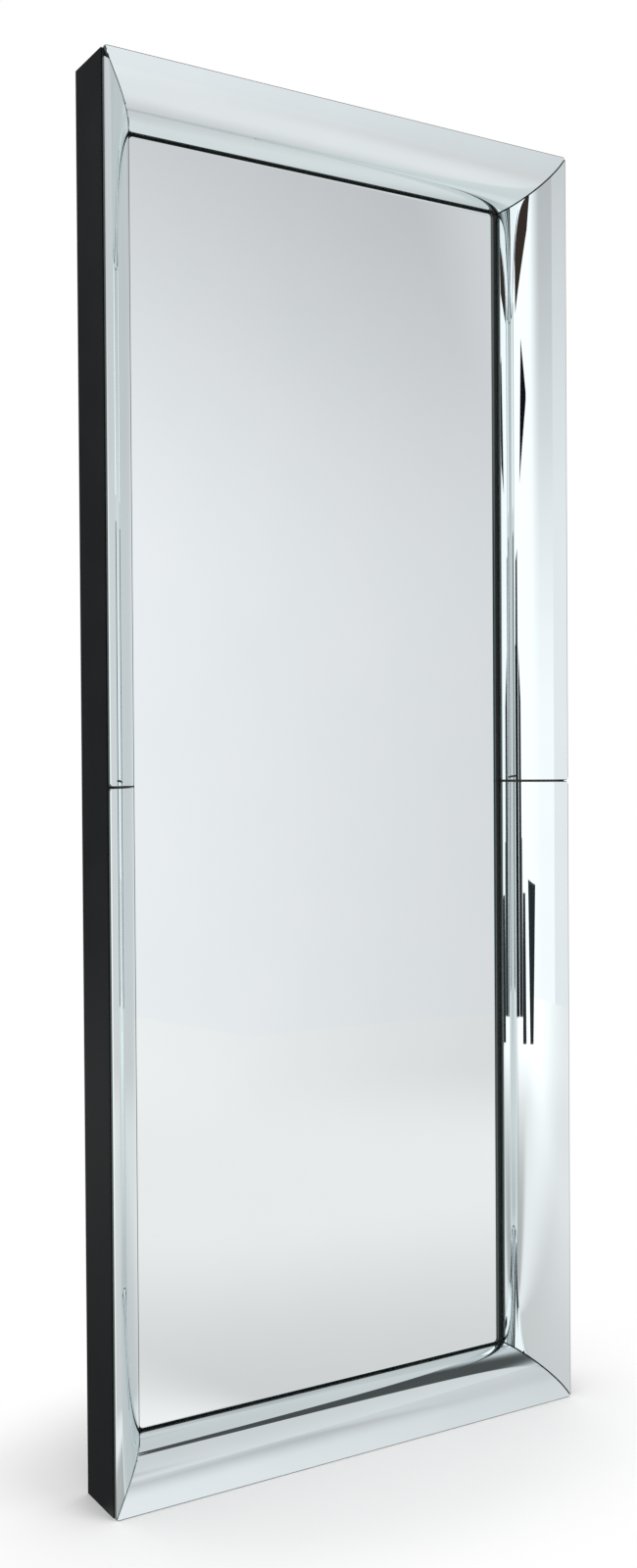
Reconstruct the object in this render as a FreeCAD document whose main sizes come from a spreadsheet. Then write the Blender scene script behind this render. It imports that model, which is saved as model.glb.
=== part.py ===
import FreeCAD, Part
import Sketcher
import math
import os
import re

# Full length mirror: a flat pane at the bottom of a shallow box, framed by six curved mirror strips.
# Millimetres. X runs to the right, Y from the viewer towards the wall, Z up.
# The origin is the middle of the underside, at half the depth of the box.

SIZES = {
    # Box
    "overall_height": 2000,
    "overall_width": 800,
    "overall_depth": 100,
    "board_thick": 12,
    "panel_thick": 4,
    "batten_width": 30,
    "batten_depth": 18,
    "rail_height": 52,
    # Curved strips: the bulge is how far the arc rises above its chord
    "side_border": 73,
    "side_bulge": 12.5,
    "end_border": 76.5,
    "end_bulge": 19,
    "strip_glass": 6,
    "strip_glue": 0.5,
    "mitre_gap": 1,
    "seam_gap": 1.5,
    "tip_cut": 4,
    "top_left_tip_cut": 16,
    "edge_tape": 4,
    "edge_tape_bond": 0.3,
    "edge_tape_width": 8,
    "edge_tape_inset": 1.5,
    "edge_tape_end": 4,
    # Flat pane, which is bedded a little to the left of the middle
    "pane_recess": 86,
    "pane_glass": 4,
    "pane_side_gap": 3.6,
    "pane_end_gap": 2.5,
    "pane_shift": 3.2,
    "pane_corner": 6,
    "pane_bevel_width": 3,
    "pane_bevel_depth": 0.8,
    "pane_tape": 1,
    "pane_tape_width": 25,
    "pane_tape_end": 60,
    # Ribs
    "rib_thick": 12,
    "seam_rib_thick": 40,
    "rib_bond": 0.4,
    "side_rib_end": 160,
    "end_rib_end": 180,
    # Fasteners
    "dowel_diameter": 6,
    "dowel_in_side": 8,
    "dowel_in_end": 22,
    "dowel_edge": 32,
    "screw_diameter": 3,
    "screw_head": 6,
    "screw_head_height": 1.5,
    "screw_length": 16,
    "panel_screw_edge": 15,
    "panel_screw_end": 120,
    # Hangers: ring_room is left between a ring that is swung up and the top board
    "hanger_spacing": 500,
    "ring_room": 1.9,
    "strap_width": 12,
    "strap_thick": 1,
    "strap_length": 31,
    "strap_screw_near": 8,
    "strap_screw_far": 25,
    "eye_diameter": 4.8,
    "eye_clearance": 0.1,
    "ring_wire": 2.2,
    "ring_width": 19,
    "ring_reach": 18,
    "ring_bend": 3,
}

# Counts
SIDE_RIBS = 5
END_RIBS = 3
PANE_TAPES = 5
SIDE_PANEL_SCREWS = 8
END_PANEL_SCREWS = 3
MITRE_POINTS = 7

# Room that a cutting solid has beyond the piece that it shapes
SPARE = 10

doc = FreeCAD.newDocument("FullLengthMirror")
sheet = doc.addObject("Spreadsheet::Sheet", "Sizes")
for row, (alias, value) in enumerate(SIZES.items(), start=1):
    sheet.set(f"A{row}", alias)
    sheet.set(f"B{row}", str(value))
    sheet.setAlias(f"B{row}", alias)
doc.recompute()


def tie(piece, prop, text):
    """Bind one property to a formula written with the names of the sheet."""
    words = re.sub(r"[a-z_]+", lambda w: "Sizes." + w.group() if w.group() in SIZES else w.group(), text)
    piece.setExpression(prop, words)


def place(piece, x, y, z):
    tie(piece, "Placement.Base.x", x)
    tie(piece, "Placement.Base.y", y)
    tie(piece, "Placement.Base.z", z)


# Planes of the object, as formulas
LEFT = "(-overall_width / 2)"
RIGHT = "(overall_width / 2)"
FRONT = "(-overall_depth / 2)"
BACK = "(overall_depth / 2)"
TOP = "overall_height"
BOTTOM = "0"
MIDDLE = "(overall_height / 2)"
PANE_FRONT = f"({FRONT} + pane_recess)"
PANE_BACK = f"({PANE_FRONT} + pane_glass)"
PANEL_FRONT = f"({PANE_BACK} + pane_tape)"
PANEL_BACK = f"({PANEL_FRONT} + panel_thick)"

# The arc of a strip starts at the outer front edge and ends on the back panel
DROP = "(pane_recess + pane_glass + pane_tape - strip_glue)"

ALONG = {
    "x": FreeCAD.Rotation(FreeCAD.Vector(0, 1, 0), 90),
    "y": FreeCAD.Rotation(FreeCAD.Vector(1, 0, 0), -90),
    "z": FreeCAD.Rotation(),
}


def box(name, xs, ys, zs):
    piece = doc.addObject("Part::Box", name)
    for prop, (low, high) in zip(("Length", "Width", "Height"), (xs, ys, zs)):
        tie(piece, prop, f"({high}) - ({low})")
    place(piece, xs[0], ys[0], zs[0])
    return piece


def cylinder(name, axis, radius, length, start):
    piece = doc.addObject("Part::Cylinder", name)
    tie(piece, "Radius", radius)
    tie(piece, "Height", length)
    piece.Placement = FreeCAD.Placement(FreeCAD.Vector(), ALONG[axis])
    place(piece, *start)
    return piece


def cone(name, axis, start_radius, end_radius, length, start):
    piece = doc.addObject("Part::Cone", name)
    tie(piece, "Radius1", start_radius)
    tie(piece, "Radius2", end_radius)
    tie(piece, "Height", length)
    piece.Placement = FreeCAD.Placement(FreeCAD.Vector(), ALONG[axis])
    place(piece, *start)
    return piece


def cut(name, base, *tools):
    for count, tool in enumerate(tools):
        piece = doc.addObject("Part::Cut", name if count == len(tools) - 1 else f"{name}_step")
        piece.Base = base
        piece.Tool = tool
        base = piece
    return base


def common(name, base, tool):
    piece = doc.addObject("Part::Common", name)
    piece.Base = base
    piece.Tool = tool
    return piece


def fuse(name, *shapes):
    piece = doc.addObject("Part::MultiFuse", name)
    piece.Shapes = list(shapes)
    return piece


def group(name, members):
    piece = doc.addObject("Part::Compound", name)
    piece.Links = members
    return piece


nodes = []


def node(piece, label):
    """Keep a finished piece as a node of its own."""
    piece.Label = label
    nodes.append(piece)
    return piece


class Side:
    """One side of the frame: its arc, and solids placed by their inset from the outer face."""

    def __init__(self, name, border, bulge):
        self.name = name
        self.border = border
        chord = f"sqrt({border} ^ 2 + {DROP} ^ 2)"
        self.radius = f"({chord} ^ 2 / (8 * {bulge}) + {bulge} / 2)"
        reach = f"({self.radius} - {bulge})"
        self.axis_inset = f"({border} / 2 - {reach} * {DROP} / {chord})"
        self.axis_depth = f"({DROP} / 2 + {reach} * {border} / {chord})"
        self.upright = name in ("left", "right")

    def across(self, inset):
        """The coordinate, across the side, of a plane at this inset."""
        outer = {"left": LEFT, "right": RIGHT, "top": TOP, "bottom": BOTTOM}[self.name]
        sign = "+" if self.name in ("left", "bottom") else "-"
        return f"({outer} {sign} ({inset}))"

    def block(self, name, insets, ys, along):
        span = [self.across(inset) for inset in insets]
        if self.name in ("right", "top"):
            span.reverse()
        return box(name, span, ys, along) if self.upright else box(name, along, ys, span)

    def round_solid(self, name, radius_change):
        """A cylinder about the axis of the arc, running past both ends of the side."""
        depth = f"{FRONT} + {self.axis_depth}"
        radius = f"{self.radius} + ({radius_change})"
        if self.upright:
            start = (self.across(self.axis_inset), depth, f"-{SPARE}")
            return cylinder(name, "z", radius, f"overall_height + {2 * SPARE}", start)
        start = (f"{LEFT} - {SPARE}", depth, self.across(self.axis_inset))
        return cylinder(name, "x", radius, f"overall_width + {2 * SPARE}", start)

    def shell(self, name, outer_change, inner_change):
        outer = self.round_solid(f"{name}_outer", outer_change)
        inner = self.round_solid(f"{name}_inner", inner_change)
        return cut(f"{name}_shell", outer, inner)


SIDES = {
    "left": Side("left", "side_border", "side_bulge"),
    "right": Side("right", "side_border", "side_bulge"),
    "top": Side("top", "end_border", "end_bulge"),
    "bottom": Side("bottom", "end_border", "end_bulge"),
}


def arc_drop():
    """The depth of the arcs in numbers, from the front edge to the foot."""
    return sheet.pane_recess + sheet.pane_glass + sheet.pane_tape - sheet.strip_glue


def arc_of(border, bulge):
    """The arc of a side in numbers: radius, and inset and depth of its axis."""
    drop = arc_drop()
    chord = math.hypot(border, drop)
    radius = chord ** 2 / (8 * bulge) + bulge / 2
    reach = radius - bulge
    axis_inset = border / 2 - reach * drop / chord
    axis_depth = drop / 2 + reach * border / chord
    return radius, axis_inset, axis_depth


def make_mitre(hand, end, removed):
    """An upright cutter for one corner. In plan its edge is the line where the two curved faces meet.

    It takes away the side strip's share of the corner or the end strip's share, plus half of the gap.
    """
    arcs = [arc_of(sheet.side_border, sheet.side_bulge), arc_of(sheet.end_border, sheet.end_bulge)]
    shift = sheet.mitre_gap / 2 * (1 if removed == "end" else -1)

    def corner_point(side_inset, end_inset):
        x = sheet.overall_width / 2 - side_inset + shift
        z = end_inset + shift
        return FreeCAD.Vector(
            -x if hand == "left" else x,
            -sheet.overall_depth / 2 - SPARE,
            sheet.overall_height - z if end == "top" else z,
        )

    line = []
    for index in range(MITRE_POINTS):
        depth = arc_drop() * index / (MITRE_POINTS - 1)
        line.append([inset + math.sqrt(radius ** 2 - (axis - depth) ** 2) for radius, inset, axis in arcs])
    far = max(sheet.side_border, sheet.end_border) + 2 * SPARE
    first, last = line[0], line[-1]
    if removed == "end":
        rest = [(far, last[1]), (far, -SPARE), (-SPARE, -SPARE), (-SPARE, first[1])]
    else:
        rest = [(last[0], far), (-SPARE, far), (-SPARE, first[1])]
    curve = Part.BSplineCurve()
    curve.interpolate([corner_point(*point) for point in line])
    corners = [corner_point(*point) for point in [last, *rest, first]]
    edges = [curve.toShape()]
    edges += [Part.LineSegment(a, b).toShape() for a, b in zip(corners, corners[1:])]
    depth = FreeCAD.Vector(0, sheet.overall_depth + 2 * SPARE, 0)
    cutter = doc.addObject("Part::Feature", f"{hand}_{end}_mitre_{removed}")
    cutter.Shape = Part.Face(Part.Wire(edges)).extrude(depth)
    return cutter


ABOVE_SEAM = f"{MIDDLE} + seam_gap / 2"
BELOW_SEAM = f"{MIDDLE} - seam_gap / 2"
END_SPAN = (f"{LEFT} + tip_cut / 2", f"{RIGHT} - tip_cut / 2")
END_TAPE_SPAN = (f"{LEFT} + board_thick + edge_tape_end", f"{RIGHT} - board_thick - edge_tape_end")
UPPER_TAPE_SPAN = (ABOVE_SEAM, f"{TOP} - edge_tape_inset")
LOWER_TAPE_SPAN = ("edge_tape_inset", BELOW_SEAM)

# For each glass strip: its side, the length that it covers, the length of its tape, and its mitred corners
STRIPS = {
    "top": ("top", END_SPAN, END_TAPE_SPAN, (("left", "top"), ("right", "top"))),
    "bottom": ("bottom", END_SPAN, END_TAPE_SPAN, (("left", "bottom"), ("right", "bottom"))),
    "left_upper": ("left", (ABOVE_SEAM, f"{TOP} - top_left_tip_cut"), UPPER_TAPE_SPAN, (("left", "top"),)),
    "left_lower": ("left", ("tip_cut", BELOW_SEAM), LOWER_TAPE_SPAN, (("left", "bottom"),)),
    "right_upper": ("right", (ABOVE_SEAM, f"{TOP} - tip_cut"), UPPER_TAPE_SPAN, (("right", "top"),)),
    "right_lower": ("right", ("tip_cut", BELOW_SEAM), LOWER_TAPE_SPAN, (("right", "bottom"),)),
}


def make_strip(name):
    """A length of bent mirror glass: a shell round the arc, cut square at the outer face and at its foot."""
    side_name, along, _, corners = STRIPS[name]
    side = SIDES[side_name]
    shell = side.shell(f"{name}_glass", "0", "-strip_glass")
    blank = side.block(
        f"{name}_blank",
        ("0", f"{side.border} + {SPARE}"),
        (f"{FRONT} - {SPARE}", f"{FRONT} + {DROP}"),
        along,
    )
    glass = common(f"{name}_length", blank, shell)
    removed = "end" if side.upright else "side"
    return cut(f"{name}_strip", glass, *(make_mitre(hand, end, removed) for hand, end in corners))


def make_edge_tape(name):
    """Black tape on the front edge of a board, bonded to the back of the glass."""
    side_name, _, along, _ = STRIPS[name]
    side = SIDES[side_name]
    shell = side.shell(f"{name}_tape_curve", "-strip_glass - edge_tape_bond", "-strip_glass - edge_tape")
    insets = ("edge_tape_inset", "edge_tape_inset + edge_tape_width")
    blank = side.block(f"{name}_tape_blank", insets, (f"{FRONT} - {SPARE}", BACK), along)
    return common(f"{name}_tape", blank, shell)


def make_board(name, along, dowels):
    """A side of the box, its front edge shaped to run parallel to the glass."""
    side = SIDES[name]
    blank = side.block(f"{name}_board_blank", ("0", "board_thick"), (FRONT, BACK), along)
    shape = side.round_solid(f"{name}_board_edge", "-strip_glass - edge_tape")
    return cut(f"{name}_board", common(f"{name}_board_shaped", blank, shape), dowels)


def make_rib(name, index, middle, thick):
    """A curved former that stands on the back panel and carries the glass."""
    side = SIDES[name]
    along = (f"{middle} - {thick} / 2", f"{middle} + {thick} / 2")
    blank = side.block(
        f"{name}_rib_blank_{index}",
        ("board_thick", side.border),
        (FRONT, PANEL_FRONT),
        along,
    )
    shape = side.round_solid(f"{name}_rib_curve_{index}", "-strip_glass - rib_bond")
    return cut(f"{name}_rib_{index}", common(f"{name}_rib_shaped_{index}", blank, shape), batten_blanks[name])


def make_screw(name, x, head, z):
    """A countersunk screw driven from the back, its flat head in the plane named by head."""
    flare = cone(
        f"{name}_head",
        "y",
        "screw_diameter / 2",
        "screw_head / 2",
        "screw_head_height",
        (x, f"{head} - screw_head_height", z),
    )
    shank = cylinder(
        f"{name}_shank",
        "y",
        "screw_diameter / 2",
        "screw_length - screw_head_height",
        (x, f"{head} - screw_length", z),
    )
    return fuse(name, flare, shank)


def spread(first, last, count):
    """Formulas for places spaced evenly from first to last."""
    return [f"({first} + (({last}) - ({first})) * {index} / {count - 1})" for index in range(count)]


def make_dowels():
    """Two dowels in each corner of the box, through the joint between side board and end board."""
    pins = []
    for end, height in (("bottom", "board_thick / 2"), ("top", f"{TOP} - board_thick / 2")):
        for hand, start in (
            ("left", f"{LEFT} + board_thick - dowel_in_side"),
            ("right", f"{RIGHT} - board_thick - dowel_in_end"),
        ):
            for place_name, depth in (("front", f"{FRONT} + dowel_edge"), ("rear", f"{BACK} - dowel_edge")):
                pins.append(
                    cylinder(
                        f"{hand}_{end}_{place_name}_dowel",
                        "x",
                        "dowel_diameter / 2",
                        "dowel_in_side + dowel_in_end",
                        (start, depth, height),
                    )
                )
    return group("corner_dowels_group", pins)


def make_panel_screws():
    """Screws round the edge of the back panel, into the battens and the rail."""
    edge = "board_thick + panel_screw_edge"
    screws = []
    for hand in ("left", "right"):
        column = spread("panel_screw_end", f"{TOP} - panel_screw_end", SIDE_PANEL_SCREWS)
        for index, z in enumerate(column, start=1):
            screws.append(make_screw(f"{hand}_panel_screw_{index}", SIDES[hand].across(edge), PANEL_BACK, z))
    for end in ("top", "bottom"):
        row = spread(f"{LEFT} + panel_screw_end", f"{RIGHT} - panel_screw_end", END_PANEL_SCREWS)
        for index, x in enumerate(row, start=1):
            screws.append(make_screw(f"{end}_panel_screw_{index}", x, PANEL_BACK, SIDES[end].across(edge)))
    return group("panel_screws_group", screws)


# Hangers: the eye axis runs along X, one eye radius behind the panel
EYE_Y = f"({PANEL_BACK} + eye_diameter / 2)"
EYE_Z = f"({TOP} - board_thick - ring_room - ring_wire / 2 - ring_reach)"
STRAP_FACE = f"({PANEL_BACK} + strap_thick)"
HANGER_X = {"left": "(-hanger_spacing / 2)", "right": "(hanger_spacing / 2)"}


def make_hanger_screws(hand):
    places = (("near", "strap_screw_near"), ("far", "strap_screw_far"))
    screws = [
        make_screw(f"{hand}_{name}_hanger_screw", HANGER_X[hand], STRAP_FACE, f"{EYE_Z} - {drop}")
        for name, drop in places
    ]
    return group(f"{hand}_hanger_screws_group", screws)


def make_strap(hand, screws):
    """A strap plate below a rolled eye that the ring swings in."""
    middle = HANGER_X[hand]
    sides = (f"{middle} - strap_width / 2", f"{middle} + strap_width / 2")
    plate = box(f"{hand}_strap_plate", sides, (PANEL_BACK, STRAP_FACE), (f"{EYE_Z} - strap_length", EYE_Z))
    start = (sides[0], EYE_Y, EYE_Z)
    eye = cylinder(f"{hand}_strap_eye", "x", "eye_diameter / 2", "strap_width", start)
    bore = cylinder(f"{hand}_strap_bore", "x", "ring_wire / 2 + eye_clearance", "strap_width", start)
    return cut(f"{hand}_strap", fuse(f"{hand}_strap_solid", plate, eye), bore, screws)


def make_ring(hand):
    """A D ring of round wire, hanging down: a bar in the eye, two bends, two legs and a half circle."""
    middle = HANGER_X[hand]
    wire = "ring_wire / 2"
    half = "ring_width / 2"
    bar = cylinder(
        f"{hand}_ring_bar",
        "x",
        wire,
        "ring_width - 2 * ring_bend",
        (f"{middle} - {half} + ring_bend", EYE_Y, EYE_Z),
    )
    foot = f"{EYE_Z} - ring_reach + {half}"
    pieces = [bar]
    upright = FreeCAD.Rotation(FreeCAD.Vector(1, 0, 0), 90)
    turned = FreeCAD.Rotation(FreeCAD.Vector(0, 1, 0), -90).multiply(upright)
    for name, sign, rotation in (("left", "-", turned), ("right", "+", upright)):
        leg = cylinder(
            f"{hand}_ring_{name}_leg",
            "z",
            wire,
            f"ring_reach - {half} - ring_bend",
            (f"{middle} {sign} {half}", EYE_Y, foot),
        )
        bend = doc.addObject("Part::Torus", f"{hand}_ring_{name}_bend")
        tie(bend, "Radius1", "ring_bend")
        tie(bend, "Radius2", wire)
        bend.Angle3 = 90
        bend.Placement = FreeCAD.Placement(FreeCAD.Vector(), rotation)
        place(bend, f"{middle} {sign} ({half} - ring_bend)", EYE_Y, f"{EYE_Z} - ring_bend")
        pieces += [leg, bend]
    bow = doc.addObject("Part::Torus", f"{hand}_ring_bow")
    tie(bow, "Radius1", half)
    tie(bow, "Radius2", wire)
    bow.Angle3 = 180
    bow.Placement = FreeCAD.Placement(FreeCAD.Vector(), FreeCAD.Rotation(FreeCAD.Vector(1, 0, 0), -90))
    place(bow, middle, EYE_Y, foot)
    return fuse(f"{hand}_ring", *pieces, bow)


def make_pane():
    """The flat pane: rounded corners and a narrow ground bevel round its face."""
    body = doc.addObject("PartDesign::Body", "pane")
    plane = next(f for f in body.Origin.OriginFeatures if f.Role == "XZ_Plane")
    sketch = body.newObject("Sketcher::SketchObject", "pane_outline")
    sketch.AttachmentSupport = [(plane, "")]
    sketch.MapMode = "FlatFace"
    half_x = SIZES["overall_width"] / 2 - SIZES["side_border"] - SIZES["pane_side_gap"]
    half_z = SIZES["overall_height"] / 2 - SIZES["end_border"] - SIZES["pane_end_gap"]
    corners = [
        FreeCAD.Vector(-half_x, -half_z, 0),
        FreeCAD.Vector(half_x, -half_z, 0),
        FreeCAD.Vector(half_x, half_z, 0),
        FreeCAD.Vector(-half_x, half_z, 0),
    ]
    constraint = Sketcher.Constraint
    for index in range(4):
        sketch.addGeometry(Part.LineSegment(corners[index], corners[(index + 1) % 4]))
    for index in range(4):
        sketch.addConstraint(constraint("Coincident", index, 2, (index + 1) % 4, 1))
        sketch.addConstraint(constraint("Vertical" if index % 2 else "Horizontal", index))
    sketch.addConstraint(constraint("Symmetric", 0, 1, 1, 2, -1, 1))
    width = sketch.addConstraint(constraint("DistanceX", 0, 1, 0, 2, 2 * half_x))
    height = sketch.addConstraint(constraint("DistanceY", 1, 1, 1, 2, 2 * half_z))
    tie(sketch, f"Constraints[{width}]", "overall_width - 2 * (side_border + pane_side_gap)")
    tie(sketch, f"Constraints[{height}]", "overall_height - 2 * (end_border + pane_end_gap)")
    pad = body.newObject("PartDesign::Pad", "pane_pad")
    pad.Profile = sketch
    pad.Reversed = True
    tie(pad, "Length", "pane_glass")
    place(body, "-pane_shift", PANE_FRONT, MIDDLE)
    doc.recompute()
    thickness = FreeCAD.Vector(0, 1, 0)
    edges = enumerate(pad.Shape.Edges, start=1)
    across = [f"Edge{n}" for n, edge in edges if edge.tangentAt(0).cross(thickness).Length < edge.Tolerance]
    fillet = body.newObject("PartDesign::Fillet", "pane_corners")
    fillet.Base = (pad, across)
    tie(fillet, "Radius", "pane_corner")
    doc.recompute()
    face = min(range(len(fillet.Shape.Faces)), key=lambda n: fillet.Shape.Faces[n].CenterOfMass.y)
    bevel = body.newObject("PartDesign::Chamfer", "pane_bevel")
    bevel.Base = (fillet, [f"Face{face + 1}"])
    bevel.ChamferType = "Two distances"
    tie(bevel, "Size", "pane_bevel_width")
    tie(bevel, "Size2", "pane_bevel_depth")
    body.Tip = bevel
    return body


def make_pane_tapes():
    """Upright strips of mirror tape between the pane and the back panel."""
    side_margin = "(side_border + pane_side_gap + pane_tape_end)"
    end_margin = "(end_border + pane_end_gap + pane_tape_end)"
    first = f"{LEFT} + {side_margin}"
    last = f"{RIGHT} - {side_margin} - pane_tape_width"
    heights = (end_margin, f"{TOP} - {end_margin}")
    tapes = []
    for index, x in enumerate(spread(first, last, PANE_TAPES), start=1):
        widths = (x, f"{x} + pane_tape_width")
        tapes.append(box(f"pane_tape_{index}", widths, (PANE_BACK, PANEL_FRONT), heights))
    return group("pane_tapes_group", tapes)


# Fasteners first, because the pieces that they hold are bored with them
dowels = make_dowels()
panel_screws = make_panel_screws()
hanger_screws = {hand: make_hanger_screws(hand) for hand in HANGER_X}
all_screws = (panel_screws, hanger_screws["left"], hanger_screws["right"])

# Box
INNER_X = (f"{LEFT} + board_thick", f"{RIGHT} - board_thick")
INNER_Z = ("board_thick", f"{TOP} - board_thick")
node(make_board("left", (BOTTOM, TOP), dowels), "left_side_board")
node(make_board("right", (BOTTOM, TOP), dowels), "right_side_board")
node(make_board("top", INNER_X, dowels), "top_board")
node(make_board("bottom", INNER_X, dowels), "bottom_board")
node(dowels, "corner_dowels")
panel_blank = box("panel_blank", INNER_X, (PANEL_FRONT, PANEL_BACK), INNER_Z)
node(cut("panel", panel_blank, *all_screws), "back_panel")

# Battens and hanging rail, in the corner between boards and panel
BATTEN_Y = (f"{PANEL_FRONT} - batten_depth", PANEL_FRONT)
BETWEEN_BATTENS = (f"{INNER_X[0]} + batten_width", f"{INNER_X[1]} - batten_width")
batten_blanks = {}
for name, side in SIDES.items():
    insets = ("board_thick", "board_thick + rail_height" if name == "top" else "board_thick + batten_width")
    along = INNER_Z if side.upright else BETWEEN_BATTENS
    batten_blanks[name] = side.block(f"{name}_batten_blank", insets, BATTEN_Y, along)
    tools = all_screws if name == "top" else (panel_screws,)
    bored = cut(f"{name}_batten_bored", batten_blanks[name], *tools)
    node(bored, "hanging_rail" if name == "top" else f"{name}_batten")
node(panel_screws, "back_panel_screws")

# Ribs
side_places = spread("side_rib_end", f"{TOP} - side_rib_end", SIDE_RIBS)
end_places = spread(f"{LEFT} + end_rib_end", f"{RIGHT} - end_rib_end", END_RIBS)
for name, side in SIDES.items():
    for index, middle in enumerate(side_places if side.upright else end_places, start=1):
        under_seam = side.upright and index == (SIDE_RIBS + 1) // 2
        thick = "seam_rib_thick" if under_seam else "rib_thick"
        node(make_rib(name, index, middle, thick), f"{name}_rib_{index}")

# Glass and the tapes that hold it
for name in STRIPS:
    node(make_strip(name), f"{name}_mirror_strip")
    node(make_edge_tape(name), f"{name}_edge_tape")
node(make_pane_tapes(), "pane_tapes")
node(make_pane(), "centre_mirror_pane")

# Hangers
for hand in HANGER_X:
    node(make_strap(hand, hanger_screws[hand]), f"{hand}_hanger_strap")
    node(make_ring(hand), f"{hand}_hanger_ring")
    node(hanger_screws[hand], f"{hand}_hanger_screws")

doc.recompute()
for piece in doc.Objects:
    if "Invalid" in piece.State or "Error" in piece.State:
        raise RuntimeError(f"{piece.Name} did not compute: {piece.State}")
for piece in nodes:
    if piece.Shape.isNull() or not piece.Shape.isValid() or not piece.Shape.Solids:
        raise RuntimeError(f"{piece.Label} has no valid solid")

os.makedirs("parts", exist_ok=True)
for piece in nodes:
    piece.Shape.exportStep(f"parts/{piece.Label}.step")
    box_of = piece.Shape.BoundBox
    print(f"{piece.Label}: {len(piece.Shape.Solids)} solid(s), {piece.Shape.Volume / 1000:.1f} cm3, "
          f"{box_of.XLength:.1f} x {box_of.YLength:.1f} x {box_of.ZLength:.1f}")
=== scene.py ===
import math

import bmesh
import bpy
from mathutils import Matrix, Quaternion, Vector


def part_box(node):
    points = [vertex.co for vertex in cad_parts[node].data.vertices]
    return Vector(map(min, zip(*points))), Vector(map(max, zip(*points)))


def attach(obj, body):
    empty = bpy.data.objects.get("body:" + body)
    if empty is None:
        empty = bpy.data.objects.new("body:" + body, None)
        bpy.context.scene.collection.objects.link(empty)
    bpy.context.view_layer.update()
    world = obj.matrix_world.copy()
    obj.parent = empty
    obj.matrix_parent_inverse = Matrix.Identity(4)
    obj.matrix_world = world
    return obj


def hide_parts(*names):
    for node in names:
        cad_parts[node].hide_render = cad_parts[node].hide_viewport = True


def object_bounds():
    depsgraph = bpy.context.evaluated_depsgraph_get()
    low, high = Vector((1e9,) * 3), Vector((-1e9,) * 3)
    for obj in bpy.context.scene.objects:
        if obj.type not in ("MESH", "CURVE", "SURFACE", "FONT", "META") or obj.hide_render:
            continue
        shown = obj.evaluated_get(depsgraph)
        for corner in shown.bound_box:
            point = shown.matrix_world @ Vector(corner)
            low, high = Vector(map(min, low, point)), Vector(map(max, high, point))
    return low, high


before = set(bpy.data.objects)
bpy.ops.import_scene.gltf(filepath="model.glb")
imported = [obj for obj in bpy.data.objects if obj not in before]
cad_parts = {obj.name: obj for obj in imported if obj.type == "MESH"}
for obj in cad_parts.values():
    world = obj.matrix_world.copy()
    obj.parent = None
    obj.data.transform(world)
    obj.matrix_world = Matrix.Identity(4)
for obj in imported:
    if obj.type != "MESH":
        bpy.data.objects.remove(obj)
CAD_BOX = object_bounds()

MM = 0.001

# Places that come from the frame
LEFT, FRONT, BOTTOM = CAD_BOX[0]
RIGHT, _, TOP = CAD_BOX[1]
MIDDLE = (BOTTOM + TOP) / 2
SIDE_LOW, SIDE_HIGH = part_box("left_lower_mirror_strip")
END_LOW, END_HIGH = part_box("top_mirror_strip")
SIDE_BORDER = SIDE_HIGH.x - SIDE_LOW.x
END_BORDER = END_HIGH.z - END_LOW.z
DROP = SIDE_HIGH.y - SIDE_LOW.y

# Bent glass, as the frame has it: the bulge is how far the arc rises above its chord
SIDE_BULGE = 12.5 * MM
END_BULGE = 19 * MM
STRIP_GLASS = 6 * MM
MITRE_GAP = 1 * MM
SEAM_GAP = 1.5 * MM
TOP_LEFT_TIP = 16 * MM
# Edge work on the bent glass
ARRIS = 1.3 * MM
END_ARRIS = 0.6 * MM
# The seam's arris is wider and painted dark, painted shade in the seam
SEAM_ARRIS = 1.2 * MM
CORNER_RADIUS = 4 * MM
SECTION_STEPS = 64
# Steps crowd towards the outer edge, where the corners are rounded
STEP_CROWDING = 1.6

# Flat pane: the bevel round it is wide on the right and hardly there on the left, so its dark glass paints a
# band of painted shade and reflection along the right edge
PANE_CORNER = 6 * MM
PANE_BEVEL_LEFT = 0.8 * MM
PANE_BEVEL_RIGHT = 6 * MM
PANE_BEVEL_END = 1.0 * MM
PANE_BEVEL_DROP = 0.15 * MM
PANE_ARRIS_DROP = 0.9 * MM
CORNER_STEPS = 10

# Screws: the recess is a share of the head's radius, and its floor a share of its rim
RECESS_REACH = 0.62
RECESS_WIDTH = 0.2
RECESS_FLOOR_REACH = 0.6
RECESS_FLOOR_WIDTH = 0.7
RECESS_DEPTH = 0.9 * MM
CROSS_CORNERS = 12
HEAD_STEPS = 32
POINT_SHARE = 0.1
# Each screw stops this many degrees further round than the one before
SCREW_TURN = 47

# Edges that turn more than this stay sharp
SMOOTH_ANGLE = math.radians(12)

# Settings of nodes. A mix takes colours on inputs 6 and 7 and gives one on output 2;
# it takes plain values on inputs 2 and 3 and gives one on output 0.
COLOURS = {"data_type": "RGBA"}
SMOOTH = {"interpolation_type": "SMOOTHSTEP"}
TIMES = {"operation": "MULTIPLY"}
LARGER = {"operation": "MAXIMUM"}
LENGTH = {"operation": "LENGTH"}

GLASS_IOR = 1.52
# A wave texture with cells this many times a width has bands of about that width
WAVE_FACTOR = 6.28


def linear(hex_colour):
    """An sRGB hex colour as linear RGBA."""
    channels = [int(hex_colour[i:i + 2], 16) / 255 for i in (1, 3, 5)]
    return [c / 12.92 if c <= 0.04045 else ((c + 0.055) / 1.055) ** 2.4 for c in channels] + [1.0]


def add(tree, kind, settings=None, **inputs):
    """Add a node. Inputs are given by socket name, or by number as in _0.

    Each is a value, or the output socket to link from.
    """
    node = tree.nodes.new(kind)
    for name, value in (settings or {}).items():
        setattr(node, name, value)
    for name, value in inputs.items():
        socket = node.inputs[int(name[1:])] if name[1:].isdigit() else node.inputs[name.replace("_", " ")]
        if isinstance(value, bpy.types.NodeSocket):
            tree.links.new(value, socket)
        else:
            socket.default_value = value
    return node


def new_material(name):
    material = bpy.data.materials.new(name)
    material.use_nodes = True
    material.node_tree.nodes.clear()
    return material, material.node_tree


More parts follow.
